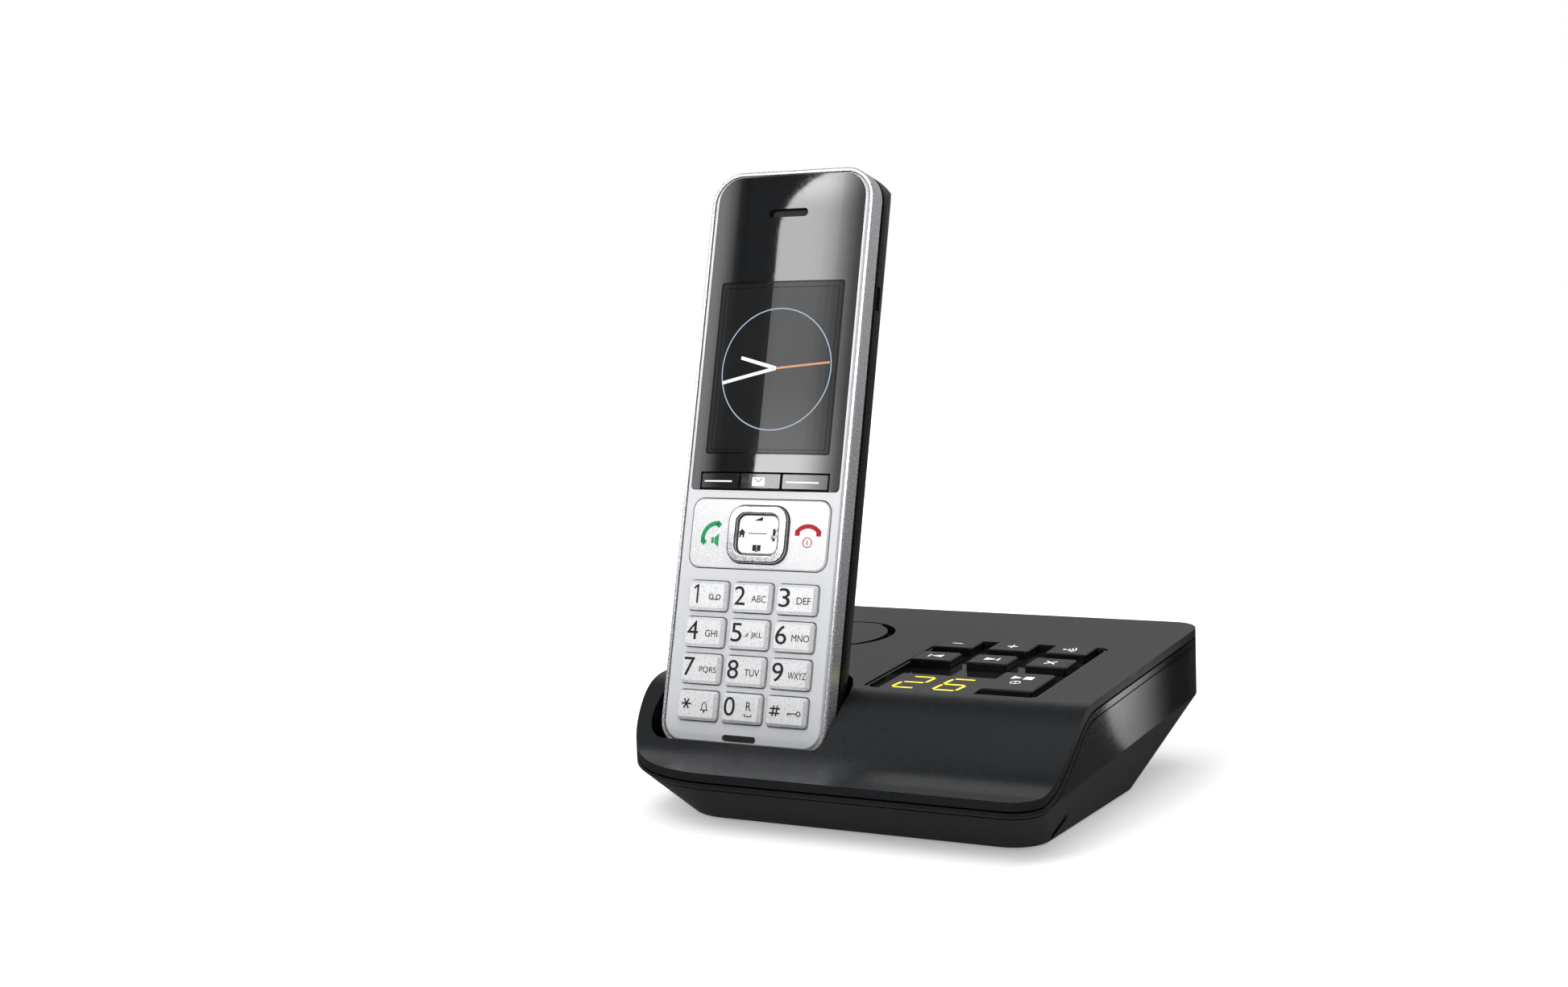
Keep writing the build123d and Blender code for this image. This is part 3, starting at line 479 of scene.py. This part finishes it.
def darken_microphone_slot():
    """Dark bottom of the shallow slot under the keys: a black sheet as painted shade in the slot."""
    floor_height = FRONT.span("handset_front_shell")[1][2] - MICROPHONE_SLOT_DEPTH
    marks("microphone_slot", FRONT, "handset_front_shell", [[rounded(-5.5, 4.5, 0.45, 2.05, 0.75)]],
          origin=FACE_ZERO, height=lambda u: floor_height, material=INK_AND_SLOT_SHADE)


WINDOW_SLICE = 2.0
PANEL_THICKNESS = 0.04


def window_marks(name, node, shapes, material, lift=0.0, **options):
    """Marks that follow the window's crown, lift mm above it and cut into strips so that they can bend."""
    marks(name, FRONT, node, shapes, origin=FACE_ZERO, height=lambda u: crown(u) + lift,
          slices=WINDOW_SLICE, material=material, **options)


def print_soft_keys():
    for side, (x0, x1) in {"left": (-18.4, -9.7), "right": (7.0, 16.6)}.items():
        window_marks("legend_soft_" + side, "soft_key_" + side, [rect(x0, x1, 69.65, 70.05)], WHITE_INK_WITH_GLOW)
    window_marks("legend_message", "soft_key_message", [rect(-3.3, 0.5, 68.65, 71.0)], WHITE_INK_WITH_GLOW)
    marks("legend_message_flap", FRONT, "soft_key_message",
          [bar(-2.6, 70.7, -1.4, 69.75, 0.17), bar(-1.4, 69.75, -0.2, 70.7, 0.17)], origin=FACE_ZERO,
          height=lambda u: crown(u) + 0.05, material=INK_AND_SLOT_SHADE)


def show_display():
    """Clock face on the handset's display: panel, dial ring and three hands, and two thin dark lines round the
    panel that are painted shade of the window's recess.
    """
    u0, u1, v0, v1 = -19.0, 19.0, 77.3, 124.8
    outer_shade_line = [rounded(u0, u1, v0, v1, 0.8)]
    panel = [rounded(u0 + 0.5, u1 - 0.5, v0 + 0.5, v1 - 0.5, 0.5)]
    inner_shade_line = [rounded(u0 + 1.5, u1 - 1.5, v0 + 1.1, v1 - 1.6, 0.3),
                  rounded(u0 + 1.75, u1 - 1.75, v0 + 1.35, v1 - 1.85, 0.2)]
    dial = [circle(0.5, 100.5, 16.8, 96), circle(0.5, 100.5, 16.5, 96)]
    hands = [bar(0.7, 100.7, -10.4, 103.7, 1.0, 0.9), bar(0.7, 100.7, -15.9, 96.8, 0.9)]
    seconds = bar(0.7, 100.7, 16.6, 102.3, 0.55)
    # the outer and inner lines are painted shade of the window's recess; the panel, dial and hands are the
    # display's own
    rows = (("display_outer_shade_line", [outer_shade_line], RECESS_SHADE_INK, 0.0, PANEL_THICKNESS),
            ("display_panel", [panel], PANEL_GLASS, 0.02, PANEL_THICKNESS),
            ("display_inner_shade_line", [inner_shade_line], RECESS_SHADE_INK, 0.03, PANEL_THICKNESS),
            ("clock_ring", [dial], DIAL_INK, 0.05, PANEL_THICKNESS),
            ("clock_hands", hands, WHITE_INK_WITH_GLOW, 0.05, PANEL_THICKNESS),
            ("clock_second_hand", [seconds], SECONDS_INK, 0.05, 0.05))
    for name, shapes, material, lift, thickness in rows:
        window_marks(name, "display_lens", shapes, material, lift, thickness=thickness)


# ------------------------------------------------------------------ marks on the base
def print_buttons():
    signs = {
        "volume_down_button": [rect(-1.5, 1.5, -0.25, 0.25)],
        "volume_up_button": [rect(-1.5, 1.5, -0.25, 0.25), rect(-0.25, 0.25, 0.25, 1.5),
                             rect(-0.25, 0.25, -1.5, -0.25)],
        "page_button": [[circle(-1.7, 0, 0.5)]]
                       + [arc(-1.7, 0, r, r + 0.36, -38, 38) for r in (1.2, 2.1, 3.0)],
        "previous_button": [rect(-2.2, -1.7, -1.2, 1.2), [[(2.0, -1.2), (2.0, 1.2), (-1.5, 0)]]],
        "next_button": [rect(1.7, 2.2, -1.2, 1.2), [[(-2.0, -1.2), (-2.0, 1.2), (1.5, 0)]]],
        "delete_button": [bar(-1.5, -1.3, 1.5, 1.3, 0.5), bar(-1.5, 1.3, -0.2, 0.18, 0.5),
                          bar(0.2, -0.18, 1.5, -1.3, 0.5)],
        "play_stop_button": [[[(-3.1, 2.2), (-3.1, 5.0), (-0.4, 3.6)]], rect(0.3, 2.8, 2.3, 4.9)]
                            + power_mark(-0.4, -1.0, 1.45),
    }
    for node, shapes in signs.items():
        marks("sign_" + node, TOP, node, shapes, material=BUTTON_INK_WITH_PAINTED_GLOW)


# each bar's middle as shares of the figure's width and height, and whether it stands upright
SEGMENT_PLACES = {"a": (0.5, 1.0, 0), "b": (1.0, 0.75, 1), "c": (1.0, 0.25, 1), "d": (0.5, 0.0, 0),
                  "e": (0.0, 0.25, 1), "f": (0.0, 0.75, 1), "g": (0.5, 0.5, 0)}
FIGURES = {2: "abged", 6: "acdefg"}
FIGURE_WIDTH, FIGURE_HEIGHT, FIGURE_LEAN = 6.6, 11.0, 0.12
SEGMENT_GAP, SEGMENT_POINT, SEGMENT_HALF_WIDTH = 0.35, 0.4, 0.42
FIGURE_SPACING, FIGURES_WIDTH_EXTRA, FIGURES_LEFT_SHIFT, FIGURES_BOTTOM = 5.2, 6.4, 0.8, 2.6


def figure(number, x, y):
    """One seven-segment figure, leaning a little, as separate pointed bars."""
    shapes = []
    for key in FIGURES[number]:
        fx, fy, upright = SEGMENT_PLACES[key]
        half = (FIGURE_HEIGHT / 4 if upright else FIGURE_WIDTH / 2) - SEGMENT_GAP
        shoulder, side = half - SEGMENT_POINT, SEGMENT_HALF_WIDTH
        loop = [(-half, 0), (-shoulder, side), (shoulder, side), (half, 0), (shoulder, -side),
                (-shoulder, -side)]
        if upright:
            loop = [(py, px) for px, py in loop]
        cx, cy = fx * FIGURE_WIDTH, fy * FIGURE_HEIGHT
        shapes.append([[(x + cx + px + (cy + py) * FIGURE_LEAN, y + cy + py) for px, py in loop]])
    return shapes


def show_counter():
    low, high = TOP.span("message_counter_window")
    start = ((high[0] - low[0]) - 2 * FIGURE_WIDTH - FIGURES_WIDTH_EXTRA) / 2 - FIGURES_LEFT_SHIFT
    second = start + FIGURE_WIDTH + FIGURE_SPACING
    shapes = figure(2, start, FIGURES_BOTTOM) + figure(6, second, FIGURES_BOTTOM)
    marks("counter_figures", TOP, "message_counter_window", shapes, origin=(low[0], low[1]),
          material=SEGMENTS)


# ------------------------------------------------------------------ studio
def light_panel(name, place, target, size, power):
    """Soft rectangular light that shows in no reflection."""
    light = bpy.data.lights.new(name, "AREA")
    light.shape, light.size, light.size_y, light.energy = "RECTANGLE", size[0], size[1], power
    obj = bpy.data.objects.new(name, light)
    bpy.context.scene.collection.objects.link(obj)
    obj.location = place
    obj.rotation_mode = "QUATERNION"
    obj.rotation_quaternion = (Vector(target) - Vector(place)).to_track_quat("-Z", "Y")
    obj.visible_glossy = False


def glow_material(name, strength):
    """Light panel whose brightness comes from the mesh's own glow attribute."""
    material, nodes, links, shader = new_material(name)
    nodes.remove(shader)
    emit = nodes.new("ShaderNodeEmission")
    attribute = nodes.new("ShaderNodeAttribute")
    attribute.attribute_name = "glow"
    scaled = nodes.new("ShaderNodeMath")
    scaled.operation = "MULTIPLY"
    scaled.inputs[1].default_value = strength
    links.new(attribute.outputs["Fac"], scaled.inputs[0])
    links.new(scaled.outputs[0], emit.inputs["Strength"])
    links.new(emit.outputs[0], nodes["Material Output"].inputs["Surface"])
    return material


def reflector(name, rows, columns, spot, glow, distance, strength):
    """Light panel shaped so that its mirror image on a surface fills a wanted area.

    spot(s, t) gives a point and the outward normal of the surface, glow(s, t) the brightness there.
    """
    eye = Vector(CAMERA_PLACE)
    middle, normal = spot(0.5, 0.5)
    toward = (middle - eye).normalized().reflect(normal)
    plane = middle + toward * distance
    bm = bmesh.new()
    layer = bm.verts.layers.float.new("glow")
    grid = []
    for i in range(rows + 1):
        line = []
        for j in range(columns + 1):
            point, normal = spot(j / columns, i / rows)
            ray = (point - eye).normalized().reflect(normal)
            vertex = bm.verts.new(point + ray * ((plane - point).dot(toward) / ray.dot(toward)))
            vertex[layer] = glow(j / columns, i / rows)
            line.append(vertex)
        grid.append(line)
    for lower, upper in zip(grid, grid[1:]):
        for j in range(columns):
            bm.faces.new((lower[j], lower[j + 1], upper[j + 1], upper[j]))
    mesh = bpy.data.meshes.new(name)
    bm.to_mesh(mesh)
    bm.free()
    obj = bpy.data.objects.new(name, mesh)
    bpy.context.scene.collection.objects.link(obj)
    mesh.materials.append(glow_material(name + "_glow", strength))
    obj.visible_camera = obj.visible_diffuse = obj.visible_shadow = obj.visible_transmission = False


def smooth(low, high, value):
    t = max(0.0, min(1.0, (value - low) / (high - low)))
    return t * t * (3 - 2 * t)


# bright area on the display window, in mm from the face's zero
LENS_EDGE_U, LENS_BEND_V = -2.3, 138.5
LENS_BEND_ACROSS, LENS_BEND_UP = 16.8, 16.0
LENS_LEAN, LENS_LEAN_LOW, LENS_LEAN_HIGH = 0.7, 72, 90
LENS_RIGHT_U = 24.0
LENS_START_V, LENS_RISE = 62.0, 98.0
LENS_EVEN_GLOW = 0.72


def lens_edge(v):
    """Left edge of the bright area on the display window: upright, then curving off to the right."""
    if v < LENS_BEND_V:
        return LENS_EDGE_U - LENS_LEAN * smooth(LENS_LEAN_HIGH, LENS_LEAN_LOW, v)
    share = min(1.0, (v - LENS_BEND_V) / LENS_BEND_UP)
    return LENS_EDGE_U + LENS_BEND_ACROSS * (1 - math.sqrt(1 - share * share))


def window_spot(u, v):
    """Point of the crowned window and its outward normal."""
    normal = (FRONT.axes[2] + RIGHT * (u / CROWN_RADIUS)).normalized()
    return FRONT.point(FACE_U0 + u, FACE_V0 + v, crown(FACE_U0 + u)), normal


def lens_place(s, t):
    """Position in the bright area, from its left edge to the window's right and from bottom to top."""
    v = LENS_START_V + LENS_RISE * t
    return lens_edge(v) + (LENS_RIGHT_U - lens_edge(v)) * s, v


def lens_spot(s, t):
    return window_spot(*lens_place(s, t))


def lens_glow(s, t):
    """Even in the middle, brighter at the top and low down, fading out towards the right."""
    u, v = lens_place(s, t)
    top, bottom = 0.45 * smooth(144, 153, v), 0.28 * smooth(100, 76, v)
    fade = 0.92 * smooth(9.0, 23.0, u)
    return (LENS_EVEN_GLOW + top + bottom) * (1 - fade)


LEFT_STRIP_U, LEFT_STRIP_WIDTH = -24.0, 12.0


def left_spot(s, t):
    """Strip along the left edge of the display window."""
    return window_spot(LEFT_STRIP_U + LEFT_STRIP_WIDTH * s, LENS_START_V + LENS_RISE * t)


def left_glow(s, t):
    return 1 - smooth(0.15, 0.85, s)


# bright area on the base's right wall, in metres
WALL_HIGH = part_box("base_lower_shell")[1]
WALL_GLOW_BOTTOM, WALL_GLOW_RISE = 0.008, 0.034
WALL_GLOW_FRONT, WALL_GLOW_SLANT, WALL_GLOW_BACK_MARGIN = -0.016, 0.034, 0.012


def wall_spot(s, t):
    """Bright area whose front edge curves back towards the bottom."""
    z = WALL_GLOW_BOTTOM + WALL_GLOW_RISE * t
    start = WALL_GLOW_FRONT + WALL_GLOW_SLANT * (1 - t) ** 3
    y = start + (WALL_HIGH.y - WALL_GLOW_BACK_MARGIN - start) * s
    return Vector((WALL_HIGH.x, y, z)), RIGHT


def wall_glow(s, t):
    return (1 - smooth(0.0, 0.75, s)) * (0.45 + 0.55 * smooth(0.1, 0.9, t))


WORLD_DIM, WORLD_BRIGHT = 0.04, 0.52


def make_world():
    """Dim studio, brighter behind the object and overhead, and plain white where the camera sees it."""
    world = bpy.data.worlds.new("studio")
    bpy.context.scene.world = world
    world.use_nodes = True
    nodes, links = world.node_tree.nodes, world.node_tree.links
    back = nodes["Background"]
    place = nodes.new("ShaderNodeTexCoord")
    split = nodes.new("ShaderNodeSeparateXYZ")
    links.new(place.outputs["Generated"], split.inputs[0])

    def step(direction, from_min, from_max, to_min, to_max):
        """Smooth change with the direction looked in, from one level to another."""
        node = nodes.new("ShaderNodeMapRange")
        node.interpolation_type = "SMOOTHSTEP"
        levels = {"From Min": from_min, "From Max": from_max, "To Min": to_min, "To Max": to_max}
        for key, value in levels.items():
            node.inputs[key].default_value = value
        links.new(split.outputs[direction], node.inputs["Value"])
        return node.outputs["Result"]

    def combine(a, b, operation="MULTIPLY"):
        node = nodes.new("ShaderNodeMath")
        node.operation = operation
        links.new(a, node.inputs[0])
        links.new(b, node.inputs[1])
        return node.outputs[0]

    # Y points behind the object and Z up, both as parts of a direction of length 1
    behind = step("Y", -0.1, 0.6, 0.0, 1.0)
    low = step("Z", 0.60, 0.68, 1.0, 0.0)
    rising = step("Z", 0.22, 0.60, 0.38, 1.7)
    above = step("Z", -0.06, 0.02, 0.12, 1.0)
    overhead = step("Z", 0.80, 0.98, 0.0, 1.6)
    forward = step("Y", -0.10, 0.35, 1.0, 0.0)
    low = combine(low, rising)
    band = combine(combine(combine(behind, low), above), combine(overhead, forward), "ADD")
    node = nodes.new("ShaderNodeMapRange")
    node.inputs["To Min"].default_value, node.inputs["To Max"].default_value = WORLD_DIM, WORLD_BRIGHT
    node.clamp = False
    links.new(band, node.inputs["Value"])
    path = nodes.new("ShaderNodeLightPath")
    final = combine(node.outputs["Result"], path.outputs["Is Camera Ray"], "MAXIMUM")
    links.new(final, back.inputs["Strength"])
    back.inputs["Color"].default_value = (1, 1, 1, 1)


def floor_material():
    """Pale floor that brightens away from the object, so that it meets the white background."""
    material = surface("floor_look", grey(0.92), grey(0.95), 0.9, scale=40, bump=0.0, specular=0.0,
                       glow=(1, 1, 1), glow_strength=0.30)
    nodes, links = material.node_tree.nodes, material.node_tree.links
    place, away, rise = (nodes.new("ShaderNode" + kind) for kind in ("TexCoord", "VectorMath", "MapRange"))
    away.operation, rise.interpolation_type = "LENGTH", "SMOOTHSTEP"
    links.new(place.outputs["Object"], away.inputs[0])
    links.new(away.outputs["Value"], rise.inputs["Value"])
    for key, value in {"From Min": 0.08, "From Max": 0.26, "To Min": 0.35, "To Max": 1.0}.items():
        rise.inputs[key].default_value = value
    links.new(rise.outputs["Result"], nodes["Principled BSDF"].inputs["Emission Strength"])
    return material


FLOOR_CELLS, FLOOR_HALF_SIZE = 8, 6.0


def make_floor():
    bm = bmesh.new()
    bmesh.ops.create_grid(bm, x_segments=FLOOR_CELLS, y_segments=FLOOR_CELLS, size=FLOOR_HALF_SIZE)
    mesh = bpy.data.meshes.new("floor")
    bm.to_mesh(mesh)
    bm.free()
    floor = bpy.data.objects.new("floor", mesh)
    bpy.context.scene.collection.objects.link(floor)
    mesh.materials.append(floor_material())
    floor.visible_glossy = False


# name, place, target and size in metres, and power in watts
LIGHT_PANELS = (
    ("key", (-0.55, -1.1, 1.35), (0, 0, 0.06), (1.2, 1.2), 20.0),
    ("fill", (1.1, -0.9, 0.8), (0, 0, 0.06), (1.0, 1.0), 5.0),
    ("top", (0.0, 0.25, 1.5), (0, 0, 0.0), (1.6, 1.6), 11.0),
)
# name, rows, columns, shape, brightness over it, distance in metres and strength
REFLECTORS = (
    ("lens_reflector", 48, 10, lens_spot, lens_glow, 0.55, 13.0),
    ("lens_left_reflector", 24, 8, left_spot, left_glow, 0.55, 3.4),
    ("wall_reflector", 12, 12, wall_spot, wall_glow, 0.12, 2.1),
)


def light_scene():
    for panel in LIGHT_PANELS:
        light_panel(*panel)
    for row in REFLECTORS:
        reflector(*row)


make_camera()
dress_frame()
print_keys()
print_call_panel()
darken_microphone_slot()
print_soft_keys()
show_display()
print_buttons()
show_counter()
make_world()
make_floor()
light_scene()
bpy.context.scene.view_settings.view_transform = "Standard"
